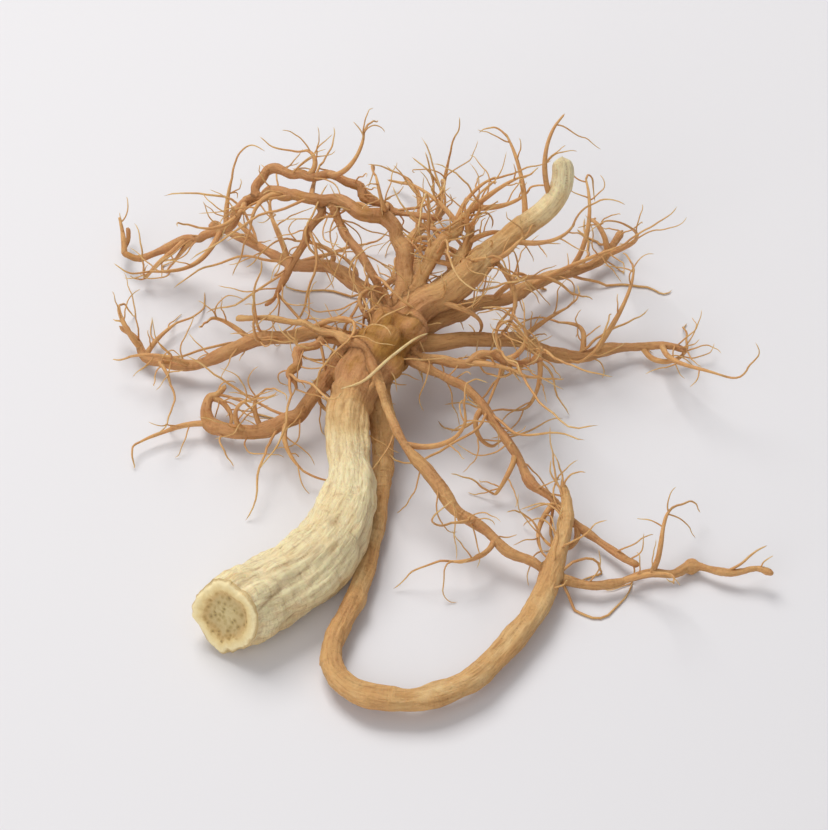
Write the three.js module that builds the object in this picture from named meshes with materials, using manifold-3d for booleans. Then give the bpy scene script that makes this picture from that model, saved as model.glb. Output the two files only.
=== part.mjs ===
// A dried ginseng root as it lies on a flat surface: a stout body with one slanting cut end, a knobby
// crown, and the branches, long threads and fine rootlets that grow from it, all one solid.
// Millimetres, +Z up. The origin is under the stout body, in the flat spot that it rests on.
// +Y runs from the cut end towards the far side of the crown, +X to the right of that.

import * as THREE from 'three';
import { mergeVertices } from 'three/addons/utils/BufferGeometryUtils.js';
import Module from 'manifold-3d';

// Driving dimensions
const BODY_RADIUS = 2.6; // the stout body near its cut end
const NECK_RADIUS = 1.5; // its narrowest place, above the bend
const CROWN_RADIUS = 2.0; // where the neck swells into the crown
const BRANCH_RADIUS = 0.9; // the pale upper branch
const LEG_RADIUS = 1.05; // the flat leg that loops round the body
const SIDE_ROOT_RADIUS = 0.55; // the thinner branches
const THREAD_RADIUS = 0.4; // the long threads
const ROOTLET_RADIUS = 0.28; // the fine rootlets
const RIB_COUNT = 5; // shallow folds along the body
const RIB_DEPTH = 0.05; // of the radius
const RIB_TWIST = 2.4; // radians from one end of the body to the other
const COLLAR_SWELL = 0.55; // how much a branch widens where it grows out, of its radius
const COLLAR_SHARE = 0.1; // the share of a branch's length that its collar takes
const KINK = 0.4; // how far a dried strand wanders off its smooth route, and half as much up or down
const REST_HEIGHT = 0.85; // the lowest that a rootlet's middle lies, clear of the surface
const FOOT_DROP = 0.01; // how far the three low points reach below the flat spot
const GROUND_SIZE = 200; // the block that trims what would sink below the surface

const UP = new THREE.Vector3(0, 0, 1);
const SKIN = new THREE.MeshStandardMaterial({ name: 'root', color: 0xd6b581, roughness: 0.8, metalness: 0 });

const wasm = await Module();
wasm.setup();

// Closed geometry to a solid that can be joined and cut, and back again

function solidOf(geometry) {
  geometry.deleteAttribute('normal');
  geometry.deleteAttribute('uv');
  const merged = mergeVertices(geometry, 1e-5);
  const corners = merged.index.array;
  const kept = [];
  for (let i = 0; i < corners.length; i += 3) {
    const [a, b, c] = corners.slice(i, i + 3);
    if (a !== b && b !== c && c !== a) kept.push(a, b, c);
  }
  const mesh = new wasm.Mesh({
    numProp: 3,
    vertProperties: new Float32Array(merged.attributes.position.array),
    triVerts: new Uint32Array(kept),
  });
  return new wasm.Manifold(mesh);
}

function geometryOf(solid) {
  const mesh = solid.getMesh();
  const geometry = new THREE.BufferGeometry();
  geometry.setAttribute('position', new THREE.BufferAttribute(mesh.vertProperties, 3));
  geometry.setIndex(new THREE.BufferAttribute(mesh.triVerts, 1));
  geometry.computeVertexNormals();
  return geometry;
}

// A strand is a closed, tapering tube along a smooth route, which may be ribbed or flattened

function routeOf(points) {
  return new THREE.CatmullRomCurve3(points.map((point) => new THREE.Vector3(...point)), false, 'catmullrom');
}

function radiusAlong(radii, t) {
  const place = t * (radii.length - 1);
  const before = Math.min(Math.floor(place), radii.length - 2);
  const share = THREE.MathUtils.smoothstep(place - before, 0, 1);
  return THREE.MathUtils.lerp(radii[before], radii[before + 1], share);
}

function framesAlong(curve, steps) {
  const tangent = curve.getTangent(0);
  const side = new THREE.Vector3().crossVectors(tangent, UP).normalize();
  const frames = [];
  for (let i = 0; i <= steps; i += 1) {
    const next = curve.getTangent(i / steps);
    side.applyQuaternion(new THREE.Quaternion().setFromUnitVectors(tangent, next)).normalize();
    tangent.copy(next);
    const across = new THREE.Vector3().crossVectors(side, tangent);
    frames.push({ middle: curve.getPoint(i / steps), side: side.clone(), across });
  }
  return frames;
}

function strand(points, radii, { sides = 6, stepsPerBend = 2, ribs = 0, flat = 1, collar = false } = {}) {
  const curve = routeOf(points);
  const steps = (points.length - 1) * stepsPerBend;
  const frames = framesAlong(curve, steps);
  const profile = [new THREE.Vector2(0, 0)];
  for (let i = 0; i <= steps; i += 1) profile.push(new THREE.Vector2(1, i));
  profile.push(new THREE.Vector2(0, steps));
  const geometry = new THREE.LatheGeometry(profile, sides);
  const position = geometry.attributes.position;
  for (let i = 0; i < position.count; i += 1) {
    const [x, step, z] = [position.getX(i), Math.round(position.getY(i)), position.getZ(i)];
    const t = step / steps;
    const angle = Math.atan2(x, z);
    const swell = collar ? 1 + COLLAR_SWELL * Math.exp(-t / COLLAR_SHARE) : 1;
    const fold = ribs ? 1 + RIB_DEPTH * Math.cos(ribs * angle + RIB_TWIST * t) : 1;
    const radius = radiusAlong(radii, t) * swell * fold;
    const { middle, side, across } = frames[step];
    const place = middle.clone().addScaledVector(side, x * radius).addScaledVector(across, z * radius * flat);
    position.setXYZ(i, place.x, place.y, place.z);
  }
  return { curve, solid: solidOf(geometry) };
}

// Every random draw comes from one seeded row of numbers, so that the same root grows each time

const SEED_STEP = 16807;
const SEED_CYCLE = 2147483647;
let seed = 2024;

function draw(low, high) {
  seed = (seed * SEED_STEP) % SEED_CYCLE;
  return low + ((high - low) * seed) / SEED_CYCLE;
}

// A dried strand is never smooth: between each two points of its route it kinks a little to one side

function kinked(points) {
  const bent = [points[0]];
  for (let i = 1; i < points.length; i += 1) {
    const [from, to] = [points[i - 1], points[i]];
    const offset = [draw(-KINK, KINK), draw(-KINK, KINK), draw(-KINK, KINK) / 2];
    const middle = from.map((value, axis) => (value + to[axis]) / 2 + offset[axis]);
    middle[2] = Math.max(middle[2], Math.min(from[2], to[2]));
    bent.push(middle, to);
  }
  return bent;
}

// The stout body, from its cut end through the bend and the neck to the crown

function makeBody() {
  const body = strand(
    [
      [-5.8, -5, 3.4], [-4.1, -3.6, 3.05], [-1.4, -1.3, 2.45], [1.7, 1.3, 2.4], [3.8, 4.6, 2.8],
      [4.6, 7.9, 3.1], [4.4, 11, 3.4], [4.3, 14, 4.2], [5.2, 17, 4.8], [6.6, 19.4, 5.3],
      [8, 21.4, 5.7],
    ],
    [
      BODY_RADIUS * 0.98, BODY_RADIUS, BODY_RADIUS * 1.02, BODY_RADIUS * 0.98, BODY_RADIUS * 0.88,
      BODY_RADIUS * 0.7, NECK_RADIUS, NECK_RADIUS, CROWN_RADIUS * 0.95, CROWN_RADIUS, CROWN_RADIUS * 0.7,
    ],
    { sides: 18, stepsPerBend: 3, ribs: RIB_COUNT },
  );
  const cutFace = new THREE.Vector3(-4.1, -3.6, 3.05);
  const cutNormal = new THREE.Vector3(-0.52, -0.76, 0.39).normalize();
  const knife = new THREE.BoxGeometry(10, 10, 10);
  knife.translate(0, 0, 5);
  knife.applyQuaternion(new THREE.Quaternion().setFromUnitVectors(UP, cutNormal));
  knife.translate(cutFace.x, cutFace.y, cutFace.z);
  return { curve: body.curve, solid: body.solid.subtract(solidOf(knife)) };
}

// Rounded lumps. Knuckles make the crown knobby, each [x, y, z, radius]. Three nodules round the root's
// weight, each [x, y, radius], end in a low point each, and what else is near the surface is clear of it.

function lump(x, y, z, radius) {
  const ball = new THREE.SphereGeometry(radius, 8, 6);
  ball.rotateX(Math.PI / 2);
  ball.translate(x, y, z);
  return solidOf(ball);
}

function makeKnuckles() {
  const knuckles = [
    [8.9, 20.6, 6.3, 1.2], [6.9, 21.7, 6, 1.1], [8.6, 22.7, 5.2, 1.35], [7.4, 19.7, 4.4, 1.4],
    [5.6, 18.4, 5.6, 1.2],
  ];
  return knuckles.map((knuckle) => lump(...knuckle));
}

function makeFeet() {
  const feet = [[-4, -3.4, 1.1], [28.9, 2.8, 0.55], [-6, 36.6, 0.55]];
  return feet.map(([x, y, radius]) => lump(x, y, radius - FOOT_DROP, radius));
}

// Branches, legs and threads, as they leave the crown

function makeBranches() {
  const sideRoot = (start, end) => [start * SIDE_ROOT_RADIUS, SIDE_ROOT_RADIUS, end * SIDE_ROOT_RADIUS];
  const thread = (start, end) => [start * THREAD_RADIUS, THREAD_RADIUS, end * THREAD_RADIUS];
  const thin = { sides: 5, stepsPerBend: 1 };
  const grown = { collar: true, stepsPerBend: 1 };
  return {
    upper: strand(
      [
        [7.6, 21, 5.6], [9.5, 23, 6.2], [11.4, 23.8, 6.8], [13.2, 25, 7.6], [14.8, 26.4, 8.4],
        [16.7, 27.7, 9.2], [18.6, 28.7, 10.2], [19.7, 29.7, 11.2], [20, 30.6, 12.3],
        [19.9, 31.4, 13.4],
      ],
      [BRANCH_RADIUS * 1.5, BRANCH_RADIUS * 1.25, BRANCH_RADIUS, BRANCH_RADIUS * 0.9, BRANCH_RADIUS * 0.95],
      { sides: 9 },
    ),
    leg: strand(
      [
        [5.9, 17.4, 4.4], [6.6, 15.4, 3.3], [6.8, 12.5, 2.3], [6.7, 8.5, 1.5], [6.1, 3.9, 1.2],
        [4.9, -0.6, 1.2], [3.6, -4, 1.2], [3.4, -7, 1.2], [5.2, -9.2, 1.3], [8.9, -9.9, 1.4],
        [12.8, -8.4, 1.4], [15.7, -5, 1.4], [17.8, -1.4, 1.4], [19.1, 2.2, 1.7], [20, 6, 2.4],
        [19.6, 9.2, 3.2],
      ],
      [LEG_RADIUS * 1.2, LEG_RADIUS * 0.6, LEG_RADIUS * 0.7, LEG_RADIUS, LEG_RADIUS * 0.9, LEG_RADIUS * 0.3],
      { sides: 8, flat: 0.75 },
    ),
    twinLong: strand(
      kinked([
        [8.2, 22, 5.8], [9.3, 24.3, 6.8], [10.3, 26.1, 7.9], [11.4, 27.5, 8.9], [12.7, 28.9, 9.6],
        [14.2, 30, 10],
      ]),
      sideRoot(1, 0.45), grown,
    ),
    twinShort: strand(
      kinked([[8.7, 22, 5.8], [10.2, 24, 6], [12, 25.8, 6.8], [12.9, 27.2, 8], [13.4, 28.9, 9.3]]),
      sideRoot(1, 0.5), grown,
    ),
    arch: strand(
      kinked([
        [7.8, 21.7, 5.6], [8.4, 24.5, 6.6], [8.5, 26.9, 8], [7.8, 28.3, 9], [6.1, 29.1, 9.6],
        [4.2, 30, 9.8], [2.3, 30.6, 9.6], [0.2, 31.8, 9], [-1.7, 32.9, 8.2], [-3.2, 33, 7.2],
        [-4.2, 32.3, 6.2], [-5.3, 31.8, 5.2], [-7, 32, 4], [-9.3, 32.4, 2.7], [-11.6, 32.3, 1.6],
        [-12.9, 33.6, 1.1], [-12.7, 36.1, 1.3],
      ]),
      [SIDE_ROOT_RADIUS, SIDE_ROOT_RADIUS, SIDE_ROOT_RADIUS * 0.85, THREAD_RADIUS, THREAD_RADIUS * 0.6],
      grown,
    ),
    archReturn: strand(
      kinked([
        [-2.6, 33, 7.6], [-2.2, 34.3, 8.2], [-1.1, 34.8, 8.7], [0.7, 33.7, 9.2], [2.6, 33.4, 9.5],
        [4.2, 32.5, 9.6], [5.3, 30.9, 9.5], [7.2, 30.2, 9.4], [9, 29.4, 9.3], [11.3, 29, 9.2],
      ]),
      thread(1, 0.6), thin,
    ),
    archDropLeft: strand(
      kinked([
        [2.3, 30.6, 9.6], [2.3, 30, 8.8], [1.1, 28.6, 7.4], [0, 27.4, 6], [-0.9, 26.3, 4.6],
        [-2.1, 25.6, 3.4],
      ]),
      thread(1, 0.6), thin,
    ),
    archDropRight: strand(
      kinked([[2.6, 30.5, 9.6], [3.4, 29.6, 9], [5, 27, 8], [6.4, 24.8, 6.8], [7.4, 22.6, 5.8]]),
      thread(0.8, 0.8), thin,
    ),
    left: strand(
      kinked([
        [7.2, 21, 5.2], [5, 20.8, 5], [3.4, 19.3, 4.2], [1.8, 17.3, 3], [0.6, 16, 2],
        [-1.3, 15.4, 1.3], [-3.2, 15.3, 1.1], [-5, 15.7, 1.1], [-6.1, 16.8, 1.2], [-5.9, 18.3, 1.5],
        [-4.6, 19.2, 2],
      ]),
      [
        SIDE_ROOT_RADIUS * 1.3, SIDE_ROOT_RADIUS * 1.1, SIDE_ROOT_RADIUS * 1.1, SIDE_ROOT_RADIUS,
        THREAD_RADIUS * 0.6,
      ],
      grown,
    ),
    leftShort: strand(
      kinked([[5.4, 20, 5.2], [2.6, 20.4, 5.6], [0.6, 19.6, 5.2], [0, 17.8, 4.6], [0.6, 16.4, 4.1]]),
      thread(1, 0.5), thin,
    ),
    longThread: strand(
      kinked([
        [-4, 24.5, 3.4], [-1.6, 23.6, 4.4], [1.1, 22.1, 5.4], [3.4, 20.2, 6.3], [4.9, 18.8, 6.8],
        [6, 16.8, 6.6], [6.8, 14.6, 6], [7.6, 12.4, 5.4], [8.9, 10, 4.6], [11.2, 7.4, 3.6],
        [13.3, 5.2, 2.7], [15.8, 3.1, 1.9], [18.6, 1.5, 1.3], [20.9, 0.9, 1], [23.6, 1.1, 0.9],
        [26, 2.1, 0.8], [28.9, 2.8, 0.7], [31.9, 1.8, 1.1], [34.6, 1.2, 1.6],
      ]),
      [0.24, 0.32, 0.4, 0.4, 0.4, 0.62, 0.4, 0.4, 0.4, 0.36, 0.24], thin,
    ),
    joinedThread: strand(
      kinked([
        [7.6, 19.6, 5.2], [9.7, 18.2, 5], [11.8, 17.2, 4.5], [13.9, 15.8, 3.8], [15.2, 13.8, 3.1],
        [16.7, 11.4, 2.3], [18.9, 8.5, 1.6], [21.1, 5.9, 1.1], [23.2, 4.1, 0.9], [25.3, 2.6, 0.9],
      ]),
      thread(1.1, 0.8), thin,
    ),
    crownCurl: strand(
      [[7.4, 22.6, 6.2], [7, 24, 6.8], [5.9, 24, 7.2], [5.1, 23, 7], [5.6, 22, 6.4], [6.8, 21.8, 5.8]],
      [ROOTLET_RADIUS, ROOTLET_RADIUS], { sides: 5 },
    ),
    upperCurl: strand(
      [[14.6, 26.2, 8.2], [15.6, 25, 8.1], [16.5, 23.2, 7.2], [16.1, 21.4, 6.1], [15, 20.2, 5.4]],
      [ROOTLET_RADIUS * 1.2, ROOTLET_RADIUS, ROOTLET_RADIUS * 0.6], { sides: 5 },
    ),
    rightShort: strand(
      kinked([
        [8.4, 20, 5.2], [11.2, 18.6, 5.2], [13, 18.3, 5.1], [15, 19, 5.3], [16.7, 18.4, 5],
        [18.8, 18.9, 5],
      ]),
      thread(1.1, 0.6), thin,
    ),
    backLeft: strand(
      kinked([
        [7.6, 21.4, 5.2], [6.2, 24.6, 5.6], [3.9, 27.6, 4.8], [0.6, 30, 3.2], [-2.6, 33.6, 1.6],
        [-6, 36.6, 0.7],
      ]),
      sideRoot(1.1, 0.5), grown,
    ),
    back: strand(
      kinked([
        [8.4, 21.8, 5], [9.2, 25.6, 4.8], [9.8, 29.4, 3.2], [8.6, 33, 1.7], [9.6, 36, 1],
        [11.8, 38.4, 1.2],
      ]),
      sideRoot(1.2, 0.5), grown,
    ),
    backRight: strand(
      kinked([
        [8.8, 21.6, 4.8], [12.2, 24.2, 4.2], [16, 27, 2.8], [19.4, 30.4, 1.6], [23, 32.6, 1],
        [25, 35.6, 1.4],
      ]),
      sideRoot(1.3, 0.5), grown,
    ),
    right: strand(
      kinked([
        [8.6, 21, 4.8], [12.6, 21.6, 4.2], [17, 22.8, 2.8], [21.4, 22.2, 1.6], [25.6, 23.8, 1],
        [29.6, 22.8, 1.5],
      ]),
      sideRoot(1.2, 0.5), grown,
    ),
    farLeft: strand(
      kinked([
        [6.6, 20.4, 4.6], [2, 22.4, 4.2], [-2.6, 23, 2.6], [-7, 21.6, 1.4], [-10.8, 22.8, 1],
        [-13, 25.6, 1.5],
      ]),
      sideRoot(1.1, 0.5), grown,
    ),
  };
}

// Fine rootlets grow along a strand, each in its own direction, curling steadily and sagging a little

const ROOTLET_BENDS = 5;
const CURL_LEAST = 0.1; // radians that a rootlet turns from bend to bend
const CURL_MOST = 0.65;
const SAG = 0.12;

function makeRootlet(parent, at, length, lean) {
  const along = parent.getTangent(at);
  const side = new THREE.Vector3().crossVectors(along, UP).normalize();
  const over = new THREE.Vector3().crossVectors(side, along);
  const turn = draw(-0.25 * Math.PI, 1.25 * Math.PI);
  const heading = along.clone().multiplyScalar(lean);
  heading.addScaledVector(side, Math.cos(turn)).addScaledVector(over, Math.sin(turn)).normalize();
  const axis = new THREE.Vector3(draw(-1, 1), draw(-1, 1), draw(-1, 1)).normalize();
  const curl = draw(CURL_LEAST, CURL_MOST);
  const points = [parent.getPoint(at)];
  for (let bend = 1; bend <= ROOTLET_BENDS; bend += 1) {
    const next = points[bend - 1].clone().addScaledVector(heading, length / ROOTLET_BENDS);
    next.z = Math.max(next.z, REST_HEIGHT);
    points.push(next);
    heading.applyAxisAngle(axis, curl);
    heading.z -= SAG;
    heading.normalize();
  }
  const radii = [ROOTLET_RADIUS * 1.2, ROOTLET_RADIUS, ROOTLET_RADIUS * 0.7, ROOTLET_RADIUS * 0.4];
  return strand(points.map((point) => point.toArray()), radii, { sides: 3, stepsPerBend: 1 }).solid;
}

// Where rootlets grow: strand, how many, first and last place along it, least and most length
const ROOTLET_ROWS = [
  ['upper', 6, 0.15, 0.75, 4, 8],
  ['twinLong', 5, 0.5, 0.95, 3, 6],
  ['twinShort', 5, 0.5, 0.95, 3, 6],
  ['arch', 8, 0.25, 0.95, 3, 8],
  ['archReturn', 4, 0.2, 0.95, 3, 6],
  ['left', 6, 0.2, 0.95, 3, 7],
  ['longThread', 7, 0.1, 0.95, 3, 7],
  ['joinedThread', 4, 0.3, 0.9, 3, 6],
  ['rightShort', 5, 0.4, 0.95, 2.5, 5],
  ['backLeft', 6, 0.3, 0.95, 4, 9],
  ['back', 6, 0.3, 0.95, 4, 9],
  ['backRight', 6, 0.3, 0.95, 4, 9],
  ['right', 6, 0.3, 0.95, 4, 9],
  ['farLeft', 6, 0.3, 0.95, 4, 9],
];

function growRootlets(branches) {
  const solids = [];
  for (const [name, count, first, last, least, most] of ROOTLET_ROWS) {
    for (let i = 0; i < count; i += 1) {
      const at = first + ((last - first) * (i + draw(0, 1))) / count;
      solids.push(makeRootlet(branches[name].curve, at, draw(least, most), draw(0.3, 0.9)));
    }
  }
  return solids;
}

// The whole root, trimmed flat where it rests. A scrap that trimming cuts loose is dropped, and a pocket
// that joining seals is filled.

function makeRoot() {
  const body = makeBody();
  const branches = makeBranches();
  let whole = body.solid;
  for (const solid of makeKnuckles()) whole = whole.add(solid);
  for (const branch of Object.values(branches)) whole = whole.add(branch.solid);
  for (const solid of growRootlets(branches)) whole = whole.add(solid);
  const ground = new THREE.BoxGeometry(GROUND_SIZE, GROUND_SIZE, GROUND_SIZE);
  ground.translate(0, 0, -GROUND_SIZE / 2);
  let trimmed = whole.subtract(solidOf(ground));
  for (const solid of makeFeet()) trimmed = trimmed.add(solid);
  const pieces = trimmed.decompose().sort((a, b) => b.volume() - a.volume());
  return new THREE.Mesh(geometryOf(pieces[0]), SKIN);
}

const root = makeRoot();
root.name = 'ginseng_root';
const model = new THREE.Group();
model.add(root);

export default model;
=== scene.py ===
import math

import bmesh
import bpy
import numpy as np
from mathutils import Matrix, Quaternion, Vector, noise


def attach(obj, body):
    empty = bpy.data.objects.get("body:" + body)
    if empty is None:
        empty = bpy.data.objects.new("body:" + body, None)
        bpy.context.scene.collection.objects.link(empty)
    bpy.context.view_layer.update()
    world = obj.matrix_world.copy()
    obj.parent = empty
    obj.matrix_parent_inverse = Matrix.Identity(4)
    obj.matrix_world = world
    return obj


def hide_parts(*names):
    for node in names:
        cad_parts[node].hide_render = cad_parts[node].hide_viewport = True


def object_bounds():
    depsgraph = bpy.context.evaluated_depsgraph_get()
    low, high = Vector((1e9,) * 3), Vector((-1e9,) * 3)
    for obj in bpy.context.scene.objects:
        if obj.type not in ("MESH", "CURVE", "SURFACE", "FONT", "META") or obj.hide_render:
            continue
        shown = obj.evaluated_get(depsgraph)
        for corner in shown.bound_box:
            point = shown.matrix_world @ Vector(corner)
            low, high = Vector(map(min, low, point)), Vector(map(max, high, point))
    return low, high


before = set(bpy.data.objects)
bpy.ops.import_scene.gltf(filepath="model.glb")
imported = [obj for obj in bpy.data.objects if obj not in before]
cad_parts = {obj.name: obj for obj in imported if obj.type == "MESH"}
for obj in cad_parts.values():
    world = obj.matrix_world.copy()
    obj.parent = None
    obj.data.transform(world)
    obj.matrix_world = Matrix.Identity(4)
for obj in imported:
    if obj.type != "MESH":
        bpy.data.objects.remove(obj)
cad_low, cad_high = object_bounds()

# The strands of the root
# A dried ginseng root is made of strands: a stout body, a neck and crown, and the branches and threads that
# grow from the crown. Each is a route in millimetres, smooth between its points, with radii along it and
# tones from 0, cream, to 1, tan. Drying has kinked the thinner ones, by the same seeded draws as in the CAD.

UP = Vector((0, 0, 1))
BODY, NECK, CROWN, BRANCH, LEG, SIDE, THREAD, ROOTLET = 2.6, 1.5, 2.0, 0.9, 1.05, 0.5, 0.34, 0.2
KINK = 0.4
COLLAR_SWELL, COLLAR_REACH = 0.55, 0.1
DRAW_STEP, DRAW_RANGE = 16807, 2147483647
seed = 2024


def draw(low, high):
    global seed
    seed = seed * DRAW_STEP % DRAW_RANGE
    return low + (high - low) * seed / DRAW_RANGE


def kinked(points):
    """Between each two points of its route a strand kinks a little to one side."""
    bent = [points[0]]
    for start, end in zip(points, points[1:]):
        offset = (draw(-KINK, KINK), draw(-KINK, KINK), draw(-KINK, KINK) / 2)
        middle = [(a + b) / 2 + o for a, b, o in zip(start, end, offset)]
        middle[2] = max(middle[2], min(start[2], end[2]))
        bent += [middle, end]
    return bent


def route_point(points, t):
    place = t * (len(points) - 1)
    before = min(int(place), len(points) - 2)
    w = place - before
    b, c = points[before], points[before + 1]
    a = points[before - 1] if before > 0 else 2 * b - c
    d = points[before + 2] if before + 2 < len(points) else 2 * c - b
    start, end = (c - a) / 2, (d - b) / 2
    return b + start * w + (3 * (c - b) - 2 * start - end) * w ** 2 + (2 * (b - c) + start + end) * w ** 3


def route_heading(points, t):
    return (route_point(points, min(t + 1e-4, 1)) - route_point(points, max(t - 1e-4, 0))).normalized()


def between(values, t):
    place = t * (len(values) - 1)
    before = min(int(place), len(values) - 2)
    w = place - before
    return values[before] + (values[before + 1] - values[before]) * w * w * (3 - 2 * w)


class Strand:
    def __init__(self, points, radii, tones, collar=False, flat=1.0):
        self.points = [Vector(p) for p in points]
        self.radii, self.tones, self.collar, self.flat = radii, tones, collar, flat

    def radius(self, t):
        swell = COLLAR_SWELL * math.exp(-t / COLLAR_REACH) if self.collar else 0
        return between(self.radii, t) * (1 + swell)

    def walk(self, steps):
        """Each step's share of the way, place, heading, two directions across, and distance gone."""
        heading = route_heading(self.points, 0)
        side = heading.cross(UP).normalized()
        last, gone = self.points[0], 0.0
        for i in range(steps + 1):
            t = i / steps
            turned = route_heading(self.points, t)
            side = (heading.rotation_difference(turned) @ side).normalized()
            heading = turned
            place = route_point(self.points, t)
            gone += (place - last).length
            last = place
            yield t, place, heading, side, side.cross(heading), gone


def tapered(start, radius, end):
    return [start * radius, radius, end * radius]


body = Strand(
    [(-5.8, -5, 3.4), (-4.1, -3.6, 3.05), (-1.4, -1.3, 2.45), (1.7, 1.3, 2.4), (3.8, 4.6, 2.8),
     (4.6, 7.9, 3.1), (4.4, 11, 3.4), (4.3, 14, 4.2), (5.2, 17, 4.8), (6.6, 19.4, 5.3), (8, 21.4, 5.7)],
    [BODY * 0.98, BODY, BODY * 1.02, BODY * 0.98, BODY * 0.88, BODY * 0.7,
     NECK, NECK, CROWN * 0.95, CROWN, CROWN * 0.7],
    [0.0, 0.0, 0.0, 0.0, 0.0, 0.0, 0.1, 0.45, 0.95, 1.15, 1.0])

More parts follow.
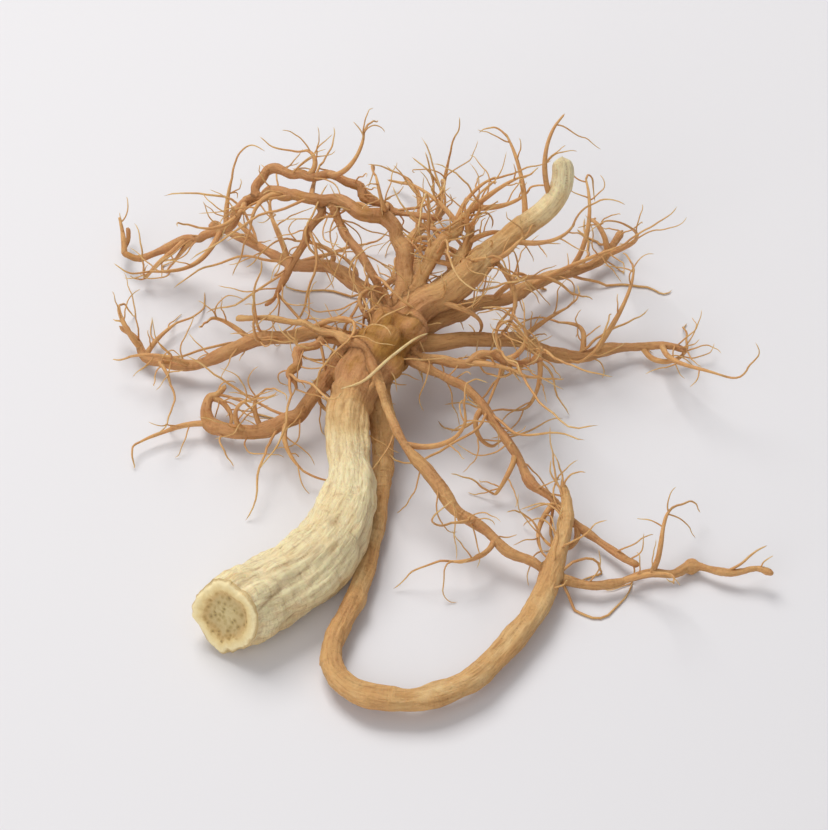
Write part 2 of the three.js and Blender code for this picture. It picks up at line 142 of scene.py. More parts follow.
strands = {
    "body": body,
    "upper": Strand(
        [(7.6, 21, 5.6), (9.5, 23, 6.2), (11.4, 23.8, 6.8), (13.2, 25, 7.6), (14.8, 26.4, 8.4),
         (16.7, 27.7, 9.2), (18.6, 28.7, 10.2), (19.7, 29.7, 11.2), (20, 30.6, 12.3), (19.9, 31.4, 13.4)],
        [BRANCH * 1.5, BRANCH * 1.25, BRANCH, BRANCH * 0.9, BRANCH * 0.85], [0.95, 0.6, 0.45, 0.15, -0.3]),
    "leg": Strand(
        [(5.9, 17.4, 4.4), (6.6, 15.4, 3.3), (6.8, 12.5, 2.3), (6.7, 8.5, 1.5), (6.1, 3.9, 1.2),
         (4.9, -0.6, 1.2), (3.6, -4, 1.2), (3.4, -7, 1.2), (5.2, -9.2, 1.3), (8.9, -9.9, 1.4),
         (12.8, -8.4, 1.4), (15.7, -5, 1.4), (17.8, -1.4, 1.4), (19.1, 2.2, 1.7), (20, 6, 2.4),
         (19.6, 9.2, 3.2)],
        [LEG * 1.2, LEG * 0.6, LEG * 0.7, LEG, LEG * 0.9, LEG * 0.3], [0.5, 0.6, 0.6, 0.5, 0.5, 0.6],
        flat=0.75),
    "twinLong": Strand(
        kinked([(8.2, 22, 5.8), (9.3, 24.3, 6.8), (10.3, 26.1, 7.9), (11.4, 27.5, 8.9), (12.7, 28.9, 9.6),
                (14.2, 30, 10)]),
        tapered(1, SIDE, 0.45), [0.6, 0.6, 0.4], collar=True),
    "twinShort": Strand(
        kinked([(8.7, 22, 5.8), (10.2, 24, 6), (12, 25.8, 6.8), (12.9, 27.2, 8), (13.4, 28.9, 9.3)]),
        tapered(1, SIDE, 0.5), [0.6, 0.6, 0.4], collar=True),
    "arch": Strand(
        kinked([(7.8, 21.7, 5.6), (8.4, 24.5, 6.6), (8.5, 26.9, 8), (7.8, 28.3, 9), (6.1, 29.1, 9.6),
                (4.2, 30, 9.8), (2.3, 30.6, 9.6), (0.2, 31.8, 9), (-1.7, 32.9, 8.2), (-3.2, 33, 7.2),
                (-4.2, 32.3, 6.2), (-5.3, 31.8, 5.2), (-7, 32, 4), (-9.3, 32.4, 2.7), (-11.6, 32.3, 1.6),
                (-12.9, 33.6, 1.1), (-12.7, 36.1, 1.3)]),
        [SIDE, SIDE, SIDE * 0.8, THREAD, THREAD * 0.6], [0.7, 0.9, 0.8, 0.9], collar=True),
    "archReturn": Strand(
        kinked([(-2.6, 33, 7.6), (-2.2, 34.3, 8.2), (-1.1, 34.8, 8.7), (0.7, 33.7, 9.2), (2.6, 33.4, 9.5),
                (4.2, 32.5, 9.6), (5.3, 30.9, 9.5), (7.2, 30.2, 9.4), (9, 29.4, 9.3), (11.3, 29, 9.2)]),
        tapered(1, THREAD, 0.6), [0.8, 0.9]),
    "archDropLeft": Strand(
        kinked([(2.3, 30.6, 9.6), (2.3, 30, 8.8), (1.1, 28.6, 7.4), (0, 27.4, 6), (-0.9, 26.3, 4.6),
                (-2.1, 25.6, 3.4)]),
        tapered(1, THREAD, 0.6), [0.85, 0.9]),
    "archDropRight": Strand(
        kinked([(2.6, 30.5, 9.6), (3.4, 29.6, 9), (5, 27, 8), (6.4, 24.8, 6.8), (7.4, 22.6, 5.8)]),
        tapered(0.8, THREAD, 0.8), [0.85, 0.85]),
    "left": Strand(
        kinked([(7.2, 21, 5.2), (5, 20.8, 5), (3.4, 19.3, 4.2), (1.8, 17.3, 3), (0.6, 16, 2),
                (-1.3, 15.4, 1.3), (-3.2, 15.3, 1.1), (-5, 15.7, 1.1), (-6.1, 16.8, 1.2),
                (-5.9, 18.3, 1.5), (-4.6, 19.2, 2)]),
        [SIDE * 1.3, SIDE * 1.1, SIDE * 1.1, SIDE, THREAD * 0.6], [0.8, 0.85, 0.7], collar=True),
    "leftShort": Strand(
        kinked([(5.4, 20, 5.2), (2.6, 20.4, 5.6), (0.6, 19.6, 5.2), (0, 17.8, 4.6), (0.6, 16.4, 4.1)]),
        tapered(1, THREAD, 0.5), [0.8, 0.9]),
    "longThread": Strand(
        kinked([(-4, 24.5, 3.4), (-1.6, 23.6, 4.4), (1.1, 22.1, 5.4), (3.4, 20.2, 6.3), (4.9, 18.8, 6.8),
                (6, 16.8, 6.6), (6.8, 14.6, 6), (7.6, 12.4, 5.4), (8.9, 10, 4.6), (11.2, 7.4, 3.6),
                (13.3, 5.2, 2.7), (15.8, 3.1, 1.9), (18.6, 1.5, 1.3), (20.9, 0.9, 1), (23.6, 1.1, 0.9),
                (26, 2.1, 0.8), (28.9, 2.8, 0.7), (31.9, 1.8, 1.1), (34.6, 1.2, 1.6)]),
        [THREAD * k for k in (0.6, 0.8, 1, 1, 1, 1.55, 1, 1, 1, 0.9, 0.6)], [0.5, 0.55, 0.7, 0.65, 0.6]),
    "joinedThread": Strand(
        kinked([(7.6, 19.6, 5.2), (9.7, 18.2, 5), (11.8, 17.2, 4.5), (13.9, 15.8, 3.8), (15.2, 13.8, 3.1),
                (16.7, 11.4, 2.3), (18.9, 8.5, 1.6), (21.1, 5.9, 1.1), (23.2, 4.1, 0.9), (25.3, 2.6, 0.9)]),
        tapered(1.1, THREAD, 0.8), [0.7, 0.8, 0.7]),
    "crownCurl": Strand(
        [(7.4, 22.6, 6.2), (7, 24, 6.8), (5.9, 24, 7.2), (5.1, 23, 7), (5.6, 22, 6.4), (6.8, 21.8, 5.8)],
        [ROOTLET, ROOTLET], [0.6, 0.7]),
    "upperCurl": Strand(
        [(14.6, 26.2, 8.2), (15.6, 25, 8.1), (16.5, 23.2, 7.2), (16.1, 21.4, 6.1), (15, 20.2, 5.4)],
        [ROOTLET * 1.2, ROOTLET, ROOTLET * 0.6], [0.6, 0.7]),
    "rightShort": Strand(
        kinked([(8.4, 20, 5.2), (11.2, 18.6, 5.2), (13, 18.3, 5.1), (15, 19, 5.3), (16.7, 18.4, 5),
                (18.8, 18.9, 5)]),
        tapered(1.1, THREAD, 0.6), [0.7, 0.8]),
    "backLeft": Strand(
        kinked([(7.6, 21.4, 5.2), (6.2, 24.6, 5.6), (3.9, 27.6, 4.8), (0.6, 30, 3.2), (-2.6, 33.6, 1.6),
                (-6, 36.6, 0.7)]),
        tapered(1.1, SIDE, 0.5), [0.7, 0.8], collar=True),
    "back": Strand(
        kinked([(8.4, 21.8, 5), (9.2, 25.6, 4.8), (9.8, 29.4, 3.2), (8.6, 33, 1.7), (9.6, 36, 1),
                (11.8, 38.4, 1.2)]),
        tapered(1.2, SIDE, 0.5), [0.7, 0.7], collar=True),
    "backRight": Strand(
        kinked([(8.8, 21.6, 4.8), (12.2, 24.2, 4.2), (16, 27, 2.8), (19.4, 30.4, 1.6), (23, 32.6, 1),
                (25, 35.6, 1.4)]),
        tapered(1.3, SIDE, 0.5), [0.6, 0.7], collar=True),
    "right": Strand(
        kinked([(8.6, 21, 4.8), (12.6, 21.6, 4.2), (17, 22.8, 2.8), (21.4, 22.2, 1.6), (25.6, 23.8, 1),
                (29.6, 22.8, 1.5)]),
        tapered(1.2, SIDE, 0.5), [0.6, 0.8], collar=True),
    "farLeft": Strand(
        kinked([(6.6, 20.4, 4.6), (2, 22.4, 4.2), (-2.6, 23, 2.6), (-7, 21.6, 1.4), (-10.8, 22.8, 1),
                (-13, 25.6, 1.5)]),
        tapered(1.1, SIDE, 0.5), [0.7, 0.8], collar=True),
}


def add_layers(bm):
    """What the finishes read: the way along and round a strand, its tone, and how much painted shade darkens
    it in folds and forks.
    """
    bm.verts.layers.float_vector.new("grain")
    bm.verts.layers.float.new("tone")
    bm.verts.layers.float.new("fold")


def roll_strand(bm, strand, sides, steps, shift=0.0):
    """A flat strip is rolled round the route to a blunt tip, its ends are closed, and its seam is welded."""
    walk = list(strand.walk(steps))
    length = walk[-1][5]
    grain, tone = bm.verts.layers.float_vector["grain"], bm.verts.layers.float["tone"]
    strip = bmesh.ops.create_grid(bm, x_segments=steps + 2, y_segments=sides, size=1)["verts"]
    for v in strip:
        ring = round((v.co.x + 1) / 2 * (steps + 2))
        turn = (v.co.y + 1) * math.pi
        t, place, heading, side, across, gone = walk[min(max(ring - 1, 0), steps)]
        r = strand.radius(t)
        r *= math.sqrt(1 - (1 - min((length - gone) / r, 1)) ** 2)
        if ring == 0:
            r = 0.0
        v.co = place + side * (math.sin(turn) * r) + across * (math.cos(turn) * r * strand.flat)
        v[grain] = (math.sin(turn) * r, math.cos(turn) * r, gone + shift)
        v[tone] = between(strand.tones, t)
    bmesh.ops.remove_doubles(bm, verts=strip, dist=1e-5)


# The fused root
# Body, crown and branches grew as one, so their strands are joined into one skin, and the creases between
# them are rounded as on the real root. The skin then gets its long folds, rings and lumps as real relief.

SKIN_GRAIN = 0.13
SKIN_TRIANGLES = 180000
BODY_SIDES, BODY_STEPS = 24, 6
BRANCH_SIDES, BRANCH_STEPS = 14, 3
KNUCKLES = ((8.9, 20.6, 6.3, 1.3), (6.9, 21.7, 6, 1.2), (8.6, 22.7, 5.2, 1.4), (7.4, 19.7, 4.4, 1.5),
            (5.6, 18.4, 5.6, 1.25))
FEET = ((-4, -3.4, 1.59, 1.6), (28.9, 2.8, 0.54, 0.55), (-6, 36.6, 0.54, 0.55))
KNOB_STEPS, FIRST_KNOB, LAST_KNOB, KNOB_TURN = 60, 44, 59, 2.4


def add_lump(bm, place, radius):
    bmesh.ops.create_icosphere(bm, subdivisions=3, radius=radius, matrix=Matrix.Translation(place))


thick = bmesh.new()
add_layers(thick)
for strand in strands.values():
    bends = len(strand.points) - 1
    if strand is body:
        roll_strand(thick, strand, BODY_SIDES, bends * BODY_STEPS)
    else:
        roll_strand(thick, strand, BRANCH_SIDES, bends * BRANCH_STEPS)
for x, y, z, r in KNUCKLES + FEET:
    add_lump(thick, (x, y, z), r)
crown_walk = list(body.walk(KNOB_STEPS))[FIRST_KNOB:LAST_KNOB]
for i, (t, place, heading, side, across, gone) in enumerate(crown_walk):
    turn = i * KNOB_TURN
    knob = place + (side * math.cos(turn) + across * math.sin(turn)) * body.radius(t) * 0.8
    add_lump(thick, knob, 0.5 + 0.22 * (i % 3))
bmesh.ops.recalc_face_normals(thick, faces=thick.faces)
mesh = bpy.data.meshes.new("ginseng_root_skin")
thick.to_mesh(mesh)
thick.free()
root = bpy.data.objects.new("ginseng_root_skin", mesh)
bpy.context.scene.collection.objects.link(root)
fuse = root.modifiers.new("fuse", "REMESH")
fuse.mode, fuse.voxel_size, fuse.adaptivity = "VOXEL", SKIN_GRAIN, 0.0
ease = root.modifiers.new("ease", "SMOOTH")
ease.factor, ease.iterations = 0.5, 5


def with_modifiers_applied(piece):
    before = piece.data
    after = bpy.data.meshes.new_from_object(piece.evaluated_get(bpy.context.evaluated_depsgraph_get()))
    piece.modifiers.clear()
    piece.data = after
    bpy.data.meshes.remove(before)
    after.name = piece.name
    return after


fused = with_modifiers_applied(root)

# Every place on the skin is read against the strand that it lies on, and against the next one near it
SAMPLE_STEP, GRAIN_SHIFT = 0.4, 37
BLEND_REACH, FORK_REACH = 0.35, 0.3
ROWS_AT_ONCE = 2000
samples, starts = [], []
for number, strand in enumerate(strands.values()):
    starts.append(len(samples))
    length = sum((b - a).length for a, b in zip(strand.points, strand.points[1:]))
    for t, place, heading, side, across, gone in strand.walk(int(length / SAMPLE_STEP)):
        samples.append((*place, strand.radius(t), *heading, *side, *across, gone + GRAIN_SHIFT * number,
                        between(strand.tones, t)))
samples = np.array(samples)
middles, reach = samples[:, 0:3], samples[:, 3]


def vertex_values(name):
    values = np.empty(len(fused.vertices) * 3)
    fused.vertices.foreach_get(name, values)
    return values.reshape(-1, 3)


places, normals = vertex_values("co"), vertex_values("normal")
grains = np.empty_like(places)
tones, widths, forks = np.empty(len(places)), np.empty(len(places)), np.empty(len(places))
for first in range(0, len(places), ROWS_AT_ONCE):
    rows = slice(first, first + ROWS_AT_ONCE)
    part = places[rows]
    away = np.sqrt(((part[:, None, :] - middles[None]) ** 2).sum(axis=2)) - reach
    hit = samples[away.argmin(axis=1)]
    offset = part - hit[:, 0:3]
    grains[rows, 0] = (offset * hit[:, 7:10]).sum(axis=1)
    grains[rows, 1] = (offset * hit[:, 10:13]).sum(axis=1)
    grains[rows, 2] = (offset * hit[:, 4:7]).sum(axis=1) + hit[:, 13]
    pull = np.exp(-(away - away.min(axis=1, keepdims=True)) / BLEND_REACH)
    tones[rows] = (pull * samples[:, 14]).sum(axis=1) / pull.sum(axis=1)
    widths[rows] = (pull * reach).sum(axis=1) / pull.sum(axis=1)
    each = np.minimum.reduceat(away, starts, axis=1)
    forks[rows] = np.exp(-np.maximum(np.partition(each, 1, axis=1)[:, 1], 0) / FORK_REACH)

THREAD_WIDTH = 0.8


def ripple(x, y, s, across, along, shift=0.0):
    """Smooth noise on a strand, finer where across or along is larger."""
    return noise.noise(Vector((x * across, y * across, s * along + shift)))


def relief(grain, width, fork):
    """How far the dried skin stands out, in millimetres, and how much brown painted shade its grooves and
    forks get, from 0 to 1.
    """
    x, y, s = grain
    turn = Vector((x, y, 0)).normalized() * (0.5 + 0.55 * width)
    wave = abs(ripple(turn.x, turn.y, s, 1.0, 0.07))
    fine = abs(ripple(turn.x, turn.y, s, 2.4, 0.16, 50))
    crumple = ripple(turn.x, turn.y, s, 3.5, 1.3, 70)
    rings = ripple(turn.x, turn.y, s, 0.5, 1.9, 90)
    lumps = ripple(x, y, s, 0.6, 0.45, 20)
    knots = max(0, ripple(0, 0, s, 1.0, 0.5, 140) - 0.12) * (width < THREAD_WIDTH)
    depth = (0.04 + 0.05 * width) * min(max(0.8 + 1.2 * lumps, 0.3), 1.2)
    height = depth * (1.9 * wave + 1.5 * fine - 0.6 + 0.5 * crumple)
    height += width * (0.04 * rings + 0.5 * knots) + (0.07 + 0.12 * width) * lumps
    # The second value is painted shade: darker in grooves and where another strand comes near
    groove_shade = max(0, 1 - wave / 0.07) * 0.45 + max(0, 1 - fine / 0.1) * 0.4 + 0.55 * fork
    return height * (1 - 0.5 * fork), groove_shade


carved = np.array([relief(g, w, f) for g, w, f in zip(grains, widths, forks)])
places += normals * carved[:, 0:1]
places[:, 2] = np.maximum(places[:, 2], 0)
# Where the skin faces downwards its tone is pushed towards tan: this is painted shade on the undersides
UNDERSIDE_PAINTED_SHADE = 0.18
tones += UNDERSIDE_PAINTED_SHADE * np.clip(0.3 - normals[:, 2], 0, 1)
fused.vertices.foreach_set("co", places.ravel())
# The third attribute holds the painted shade for folds and forks
for name, kind, values in (("grain", "FLOAT_VECTOR", grains), ("tone", "FLOAT", tones),
                           ("fold", "FLOAT", carved[:, 1])):
    layer = fused.attributes.new(name, kind, "POINT")
    layer.data.foreach_set("vector" if kind == "FLOAT_VECTOR" else "value", values.ravel())
thin_out = root.modifiers.new("thin_out", "DECIMATE")
thin_out.ratio = SKIN_TRIANGLES / (2 * len(fused.polygons))
fused = with_modifiers_applied(root)

# The cut end
# The body was cut off aslant. The knife's plane trims the skin there, and the face is closed with rings that
# run in to the middle: a rounded pale rim, then a shrunken, pitted core.

CUT_MIDDLE, CUT_NORMAL = Vector((-4.1, -3.6, 3.05)), Vector((-0.52, -0.76, 0.39)).normalized()
FACE_RINGS = 18
STUMP_REACH = 5
RIM_EASING = 6
LIP_WIDTH, LIP_HEIGHT = 0.14, 0.24
CORE_START, CORE_SLOPE, CORE_DEPTH = 0.3, 0.2, 0.3


def ends(edges):
    """The vertices of some edges, each once and in the edges' order."""
    return list(dict.fromkeys(v for e in edges for v in e.verts))


skin = bmesh.new()
skin.from_mesh(fused)

# Scraps that fusing left at the finest tips, loose or hanging by one edge, are dropped
joined, front = set(), [max(skin.faces, key=lambda f: f.calc_center_median().x)]
while front:
    face = front.pop()
    if face not in joined:
        joined.add(face)
        front += [other for e in face.edges if len(e.link_faces) == 2 for other in e.link_faces]
bmesh.ops.delete(skin, geom=[f for f in skin.faces if f not in joined], context="FACES")

core = skin.verts.layers.float.new("core")
grain, tone, fold = (skin.verts.layers.float_vector["grain"], skin.verts.layers.float["tone"],
                     skin.verts.layers.float["fold"])
stump = [f for f in skin.faces if (f.calc_center_median() - CUT_MIDDLE).length < STUMP_REACH]
stump_edges = list(dict.fromkeys(e for f in stump for e in f.edges))
bmesh.ops.bisect_plane(skin, geom=stump + stump_edges + ends(stump_edges), plane_co=CUT_MIDDLE,
                       plane_no=CUT_NORMAL, clear_outer=True)
rim = [e for e in skin.edges if e.is_boundary]
rim_verts = ends(rim)
for _ in range(RIM_EASING):
    bmesh.ops.smooth_vert(skin, verts=rim_verts, factor=0.5, use_axis_x=True, use_axis_y=True,
                          use_axis_z=True)
for v in rim_verts:
    v.co -= CUT_NORMAL * (v.co - CUT_MIDDLE).dot(CUT_NORMAL)
centre = sum((v.co for v in rim_verts), Vector()) / len(rim_verts)
for ring in range(1, FACE_RINGS + 1):
    made = bmesh.ops.extrude_edge_only(skin, edges=rim)["geom"]
    rim = [g for g in made if isinstance(g, bmesh.types.BMEdge)]
    left = FACE_RINGS + 1 - ring
    for v in ends(rim):
        v.co = centre + (v.co - centre) * ((left - 0.4) / (left + 0.6))
        v[core] = ring / FACE_RINGS
        v[tone] = 0.1
        v[fold] = 0
bmesh.ops.pointmerge(skin, verts=ends(rim), merge_co=centre)
for v in skin.verts:
    if v[core] > 0:
        inward = v[core] + 0.12 * noise.noise(v.co * 0.9)
        lip = math.sin(min(inward / LIP_WIDTH, 1) * math.pi / 2)
        hollow = min(max((inward - CORE_START) / CORE_SLOPE, 0), 1)
        rough = 0.14 * noise.noise(v.co * 1.6) + 0.1 * noise.noise(v.co * 4.5)
        raised = LIP_HEIGHT * lip - CORE_DEPTH * hollow + rough * (0.6 * lip + 0.6 * hollow)
        v.co += CUT_NORMAL * raised
        v[grain] = v.co
bmesh.ops.recalc_face_normals(skin, faces=skin.faces)
bmesh.ops.transform(skin, matrix=Matrix.Scale(0.001, 4), verts=skin.verts)
skin.to_mesh(fused)
skin.free()
for polygon in fused.polygons:
    polygon.use_smooth = True

# The skin's finish
# Dried ginseng skin is dry and matt, cream on the stout body and tan on the threads. Fine fibres run along
# it, brown painted shade darkens its folds and forks, and short darker scars lie across it.


def paint(text):
    """A colour written as six hexadecimal digits, in linear light."""
    parts = [int(text[i:i + 2], 16) / 255 for i in (0, 2, 4)]
    return (*[p / 12.92 if p <= 0.04045 else ((p + 0.055) / 1.055) ** 2.4 for p in parts], 1)


class Nodes:
    """A material's or a group's nodes, made and linked in one call each."""

    def __init__(self, tree):
        self.tree = tree

    def add(self, kind, inputs=(), **settings):
        node = self.tree.nodes.new(kind)
        for name, value in settings.items():
            setattr(node, name, value)
        for name, value in dict(inputs).items():
            if isinstance(value, bpy.types.NodeSocket):
                self.tree.links.new(value, node.inputs[name])
            else:
                node.inputs[name].default_value = value
        return node

    def math(self, operation, a, b=0.0):
        return self.add("ShaderNodeMath", {0: a, 1: b}, operation=operation).outputs[0]

    def ramp(self, value, *stops):
        node = self.add("ShaderNodeValToRGB", {"Fac": value})
        elements = node.color_ramp.elements
        for place, _ in stops[2:]:
            elements.new(place)
        for element, (place, colour) in zip(elements, stops):
            element.position, element.color = place, colour
        return node.outputs["Color"]

    def mix(self, share, a, b, blend="MIX"):
        node = self.add("ShaderNodeMix", data_type="RGBA", blend_type=blend)
        for socket, value in ((node.inputs[0], share), (node.inputs[6], a), (node.inputs[7], b)):
            if isinstance(value, bpy.types.NodeSocket):
                self.tree.links.new(value, socket)
            else:
                socket.default_value = value
        return node.outputs[2]

    def noise(self, vector, stretch, scale, detail, roughness=0.6):
        along = self.add("ShaderNodeMapping", {"Vector": vector, "Scale": stretch}).outputs[0]
        return self.add("ShaderNodeTexNoise", {"Vector": along, "Scale": scale, "Detail": detail,
                                               "Roughness": roughness}).outputs[0]


def fibre_group():
    """Fine fibres along a strand, mottling over it and scars across it, from the strand's own grain."""
    group = bpy.data.node_groups.new("root_fibres", "ShaderNodeTree")
    group.interface.new_socket("Fineness", in_out="INPUT", socket_type="NodeSocketFloat").default_value = 1
    for name in ("Fibre", "Mottle", "Scar", "Relief"):
        group.interface.new_socket(name, in_out="OUTPUT", socket_type="NodeSocketFloat")
    n = Nodes(group)
    given = n.add("NodeGroupInput").outputs["Fineness"]
    grain = n.add("ShaderNodeAttribute", attribute_name="grain").outputs["Vector"]
    fine = n.add("ShaderNodeVectorMath", {0: grain}, operation="SCALE")
    group.links.new(given, fine.inputs["Scale"])
    fine = fine.outputs[0]
    fibre = n.noise(fine, (5.0, 5.0, 0.7), 1.3, 5.0, 0.65)
    mottle = n.noise(fine, (1.0, 1.0, 0.5), 0.7, 4.0)
    rings = n.noise(fine, (0.8, 0.8, 5.0), 1.0, 4.0)
    across = n.add("ShaderNodeMapping", {"Vector": fine, "Scale": (0.55, 0.55, 2.4)}).outputs[0]
    scars = n.add("ShaderNodeTexVoronoi", {"Vector": across, "Scale": 1.0, "Randomness": 1.0})
    chance = n.add("ShaderNodeSeparateColor", {0: scars.outputs["Color"]}).outputs[0]
    few = n.math("GREATER_THAN", chance, 0.6)
    near = n.math("SUBTRACT", 1.0, n.math("MULTIPLY", scars.outputs["Distance"], 3.0))
    spot = n.math("MULTIPLY", n.math("MAXIMUM", near, 0.0), few)
    relief_mix = n.math("ADD", n.math("MULTIPLY", fibre, 0.7), n.math("MULTIPLY", rings, 0.5))
    relief_mix = n.math("SUBTRACT", relief_mix, n.math("MULTIPLY", spot, 0.15))
    out = n.add("NodeGroupOutput", {"Fibre": fibre, "Mottle": mottle, "Scar": spot, "Relief": relief_mix})
    return out.id_data


FIBRES = fibre_group()
BUMP_DEPTH = 0.0003


def skin_material(name, fineness, bump):
    material = bpy.data.materials.new(name)
    material.use_nodes = True
    material.node_tree.nodes.clear()
    n = Nodes(material.node_tree)
    fibres = n.add("ShaderNodeGroup", node_tree=FIBRES)
    fibres.inputs["Fineness"].default_value = fineness
    fibre, mottle = fibres.outputs["Fibre"], fibres.outputs["Mottle"]
    tone = n.add("ShaderNodeAttribute", attribute_name="tone").outputs["Fac"]
    fold = n.add("ShaderNodeAttribute", attribute_name="fold").outputs["Fac"]
    shade = n.math("ADD", tone, n.math("MULTIPLY", n.math("SUBTRACT", mottle, 0.5), 0.75))
    shade = n.math("MULTIPLY", shade, 0.8)
    colour = n.ramp(shade, (0.0, paint("FCEEC2")), (0.2, paint("EFD29C")), (0.44, paint("DAAC72")),
                    (0.7, paint("CC9666")), (0.86, paint("B8873F")))
    streak = n.ramp(fibre, (0.3, paint("B48A54")), (0.52, paint("FFFFFF")))
    colour = n.mix(0.45, colour, streak, "MULTIPLY")
    # Brown painted shade darkens the skin's folds and forks
    fold_shade_mix = n.ramp(n.math("ADD", fold, n.math("MULTIPLY", n.math("SUBTRACT", fibre, 0.5), 0.5)),
                  (0.1, (0, 0, 0, 1)), (0.75, (1, 1, 1, 1)))
    colour = n.mix(n.math("MULTIPLY", fold_shade_mix, 0.6), colour, paint("925C24"))
    colour = n.mix(n.math("MULTIPLY", fibres.outputs["Scar"], 0.3), colour, paint("8A5A2A"))
    rough = n.math("ADD", 0.55, n.math("MULTIPLY", mottle, 0.3))
    raised = n.add("ShaderNodeBump", {"Height": fibres.outputs["Relief"], "Strength": bump,
                                      "Distance": BUMP_DEPTH})
    surface = n.add("ShaderNodeBsdfPrincipled", {"Base Color": colour, "Roughness": rough,
                                                 "Normal": raised.outputs[0], "IOR": 1.45})
    surface.inputs["Subsurface Weight"].default_value = 0.2
    surface.inputs["Subsurface Radius"].default_value = (1.0, 0.55, 0.25)
    surface.inputs["Subsurface Scale"].default_value = 0.0006
    n.add("ShaderNodeOutputMaterial", {"Surface": surface.outputs[0]})
    return material


def cut_material():
    """The cut face: pale rim, darker ring inside it, and an olive grey, pitted core."""
    material = bpy.data.materials.new("cut_face")
    material.use_nodes = True
    material.node_tree.nodes.clear()
    n = Nodes(material.node_tree)
    inward = n.add("ShaderNodeAttribute", attribute_name="core").outputs["Fac"]
    place = n.add("ShaderNodeAttribute", attribute_name="grain").outputs["Vector"]
    blotch = n.add("ShaderNodeTexNoise", {"Vector": place, "Scale": 1.3, "Detail": 5.0,
                                          "Roughness": 0.7}).outputs[0]
    speck = n.add("ShaderNodeTexVoronoi", {"Vector": place, "Scale": 2.6}).outputs["Distance"]
    wavering = n.math("ADD", inward, n.math("MULTIPLY", n.math("SUBTRACT", blotch, 0.5), 0.35))
    colour = n.ramp(wavering, (0.0, paint("DCBB80")), (0.09, paint("F8E8B8")), (0.27, paint("EDD69C")),
                    (0.4, paint("D6B780")), (0.55, paint("CDB684")), (1.0, paint("D8C694")))
    specks = n.ramp(speck, (0.1, paint("7E6A40")), (0.3, paint("D8CFAE")), (0.6, paint("FFFFFF")))
    pitted = n.math("MULTIPLY", n.math("GREATER_THAN", wavering, 0.33), 0.6)
    colour = n.mix(pitted, colour, specks, "MULTIPLY")
    raised = n.add("ShaderNodeBump", {"Height": blotch, "Strength": 0.6, "Distance": BUMP_DEPTH})
    surface = n.add("ShaderNodeBsdfPrincipled", {"Base Color": colour, "Roughness": 0.8,
                                                 "Normal": raised.outputs[0]})
    n.add("ShaderNodeOutputMaterial", {"Surface": surface.outputs[0]})
    return material


fused.materials.append(skin_material("root_skin", fineness=1.0, bump=0.9))
fused.materials.append(cut_material())
core_values = fused.attributes["core"].data
for polygon in fused.polygons:
    if any(core_values[v].value > 0 for v in polygon.vertices):
        polygon.material_index = 1
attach(root, "root")
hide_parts("ginseng_root")

# The fine rootlets
# They grow along the branches and threads, each in its own direction, curling steadily and sagging a
# little, and they are thinnest at their tips. Their feet are sunk in the skin of what they grow from.

ROOTLET_FLOOR = 0.85
ROOTLET_BENDS = 5
ROOTLET_LEANS, ROOTLET_CURLS, ROOTLET_SAG = (0.3, 0.9), (0.1, 0.65), 0.12


def wander(parent, at, length, lean, bends, curls, sag, floor, shiver=0.0):
    """The points of a fine strand that leaves its parent and curls away."""
    along = route_heading(parent.points, at)
    side = along.cross(UP).normalized()
    over = side.cross(along)
    turn = draw(-0.25 * math.pi, 1.25 * math.pi)
    heading = (along * lean + side * math.cos(turn) + over * math.sin(turn)).normalized()
    axis = Vector((draw(-1, 1), draw(-1, 1), draw(-1, 1))).normalized()
    curl = draw(*curls)
    points = [route_point(parent.points, at)]
    for _ in range(bends):
        point = points[-1] + heading * (length / bends)
        point.z = max(point.z, floor)
        points.append(point)
        heading = Quaternion(axis, curl) @ heading
        heading.z -= sag
        if shiver:
            heading += Vector((draw(-1, 1), draw(-1, 1), draw(-1, 1))) * shiver
        heading.normalize()
    return points


# Parent, how many, where along it they begin and end, and least and most length
ROWS = (("upper", 6, 0.15, 0.75, 4, 8), ("twinLong", 5, 0.5, 0.95, 3, 6),
        ("twinShort", 5, 0.5, 0.95, 3, 6), ("arch", 8, 0.25, 0.95, 3, 8),
        ("archReturn", 4, 0.2, 0.95, 3, 6), ("left", 6, 0.2, 0.95, 3, 7),
        ("longThread", 7, 0.1, 0.95, 3, 7), ("joinedThread", 4, 0.3, 0.9, 3, 6),
        ("rightShort", 5, 0.4, 0.95, 2.5, 5), ("backLeft", 6, 0.3, 0.95, 4, 9),
        ("back", 6, 0.3, 0.95, 4, 9), ("backRight", 6, 0.3, 0.95, 4, 9),
        ("right", 6, 0.3, 0.95, 4, 9), ("farLeft", 6, 0.3, 0.95, 4, 9))

rootlet_strands = []
for name, count, start, end, least, most in ROWS:
    for i in range(count):
        at = start + (end - start) * (i + draw(0, 1)) / count
        length, lean = draw(least, most), draw(*ROOTLET_LEANS)
        points = wander(strands[name], at, length, lean, ROOTLET_BENDS, ROOTLET_CURLS, ROOTLET_SAG,
                        ROOTLET_FLOOR)
        rootlet_strands.append(Strand(points, [ROOTLET * k for k in (1.2, 1, 0.7, 0.4)], [0.7, 0.6]))


def strands_object(name, made, sides, steps, material):
    bm = bmesh.new()
    add_layers(bm)
    for number, strand in enumerate(made):
        roll_strand(bm, strand, sides, steps, shift=11 * number)
    bmesh.ops.recalc_face_normals(bm, faces=bm.faces)
    bmesh.ops.transform(bm, matrix=Matrix.Scale(0.001, 4), verts=bm.verts)
    mesh = bpy.data.meshes.new(name)
    bm.to_mesh(mesh)
    bm.free()
    for polygon in mesh.polygons:
        polygon.use_smooth = True
    mesh.materials.append(material)
    piece = bpy.data.objects.new(name, mesh)
    bpy.context.scene.collection.objects.link(piece)
    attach(piece, "root")
    return piece


FINE_SKIN = skin_material("rootlet_skin", fineness=2.0, bump=0.4)
strands_object("rootlets", rootlet_strands, 8, 30, FINE_SKIN)

# The hairs
# Root hairs, a quarter of a millimetre thick and less, trail from the rootlets' tips and stand on branches
# and crown. They are crooked, and one that would reach past the rest of the root is broken off there.

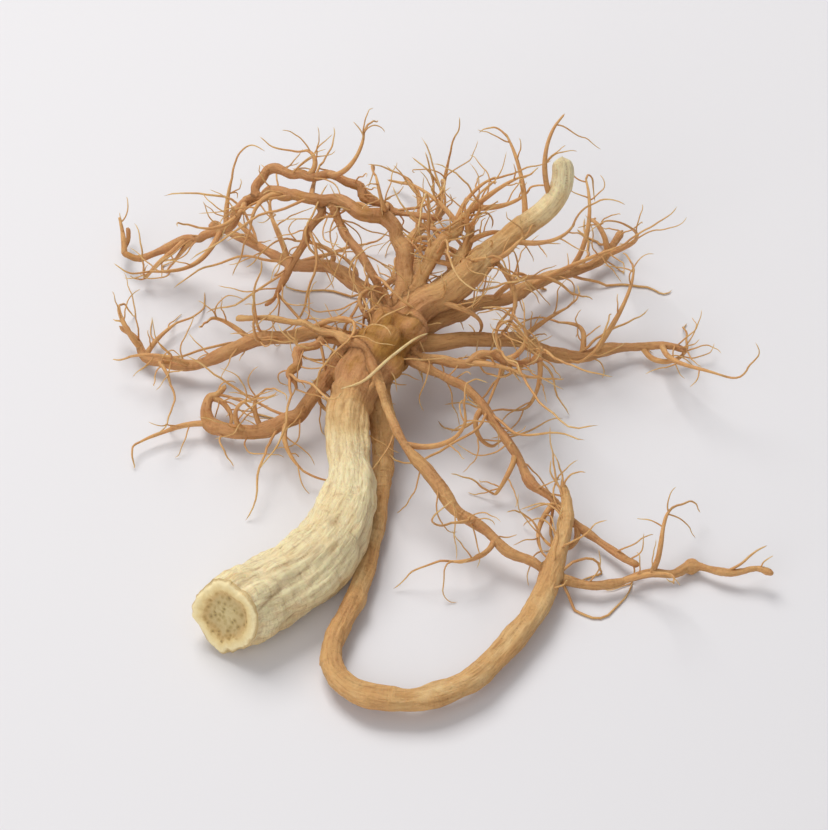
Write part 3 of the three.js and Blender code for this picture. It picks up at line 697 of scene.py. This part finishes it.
HAIR_FLOOR, HAIR_SAG, HAIR_SHIVER = 0.1, 0.05, 0.33
HAIR_CURLS = (0, 0.35)
HAIR_BEND = 1.3
EDGE_GAP = 0.1


def within(points):
    """The points up to the first that leaves the root's own box."""
    kept = []
    for point in points:
        sides = zip(point, cad_low, cad_high)
        if any(not low * 1000 + EDGE_GAP < c < high * 1000 - EDGE_GAP for c, low, high in sides):
            break
        kept.append(point)
    return kept


side_strands = [strand for name, strand in strands.items() if name not in ("body", "upper", "leg")]
# Parents, how many on each, where along it, length, lean along it, and radius
HAIR_ROWS = (
    (rootlet_strands, 1, (0.93, 0.98), (2, 6), (2.5, 4), 0.09),
    (rootlet_strands, 3, (0.2, 0.95), (1.5, 4.5), (0.2, 1.2), 0.065),
    (side_strands, 3, (0.3, 0.95), (6, 13), (0.4, 1.6), 0.12),
    (side_strands, 12, (0.1, 0.98), (1.5, 6), (0.2, 1.2), 0.07),
    ([strands["upper"]], 10, (0.1, 0.7), (2, 7), (0.2, 1.2), 0.07),
    ([strands["leg"]], 12, (0.8, 0.99), (2, 6), (0.6, 2), 0.09),
    ([body], 30, (0.74, 0.98), (2, 8), (0.2, 1.2), 0.08))

hair_strands = []
for parents, count, places_along, lengths, leans, radius in HAIR_ROWS:
    for parent in parents:
        for _ in range(count):
            at, length, lean = draw(*places_along), draw(*lengths), draw(*leans)
            bends = 5 + int(length / HAIR_BEND)
            points = within(wander(parent, at, length, lean, bends, HAIR_CURLS, HAIR_SAG, HAIR_FLOOR,
                                   shiver=HAIR_SHIVER))
            if len(points) > 3:
                hair_strands.append(Strand(points, [radius, radius * 0.8, radius * 0.45], [0.75, 0.45]))

# One loose pale fibre lies across the neck
crown_fibre = [(3.8, 15.2, 5.8), (5.5, 15.3, 6.6), (7.2, 16.8, 7.2), (9.1, 18.6, 7.4), (10.2, 20, 6.6)]
hair_strands.append(Strand(crown_fibre, [0.06, 0.13, 0.11, 0.06], [0.25, 0.25]))
strands_object("root_hairs", hair_strands, 5, 15, FINE_SKIN)

# The floor, lights and camera
# A pale, faintly lavender surface under soft light from above and behind, so that the shadow falls softly
# towards the camera, which looks down at 48 degrees.

floor = bpy.data.meshes.new("floor")
bm = bmesh.new()
bmesh.ops.create_grid(bm, x_segments=1, y_segments=1, size=3)
bm.to_mesh(floor)
bm.free()
floor_object = bpy.data.objects.new("floor", floor)
bpy.context.scene.collection.objects.link(floor_object)
paper = bpy.data.materials.new("floor")
paper.use_nodes = True
paper.node_tree.nodes["Principled BSDF"].inputs["Base Color"].default_value = (0.745, 0.75, 0.80, 1)
paper.node_tree.nodes["Principled BSDF"].inputs["Roughness"].default_value = 0.6
floor.materials.append(paper)

world = bpy.data.worlds.new("studio")
bpy.context.scene.world = world
world.use_nodes = True
world.node_tree.nodes["Background"].inputs["Color"].default_value = (1.0, 0.975, 0.95, 1)
world.node_tree.nodes["Background"].inputs["Strength"].default_value = 0.38


def soft_light(name, place, size, power, colour, aim):
    lamp = bpy.data.lights.new(name, "AREA")
    lamp.size, lamp.energy, lamp.color = size, power, colour
    light = bpy.data.objects.new(name, lamp)
    bpy.context.scene.collection.objects.link(light)
    light.location = place
    light.rotation_euler = (Vector(aim) - Vector(place)).to_track_quat("-Z", "Y").to_euler()


TARGET = (0.0091, 0.0152, 0.003)
soft_light("window", (-0.12, 0.30, 0.42), 0.28, 1.95, (1.0, 0.97, 0.92), TARGET)
soft_light("fill", (-0.22, -0.36, 0.24), 0.4, 0.95, (1.0, 0.98, 0.95), TARGET)
bpy.context.scene.view_settings.view_transform = "Standard"

camera = bpy.data.objects.new("camera", bpy.data.cameras.new("camera"))
bpy.context.scene.collection.objects.link(camera)
bpy.context.scene.camera = camera
ELEVATION, DISTANCE = math.radians(48), 0.335
camera.data.lens = 200
camera.data.clip_start = 0.01
camera.location = Vector(TARGET) + Vector((0, -math.cos(ELEVATION), math.sin(ELEVATION))) * DISTANCE
camera.rotation_euler = (math.radians(90) - ELEVATION, 0, 0)
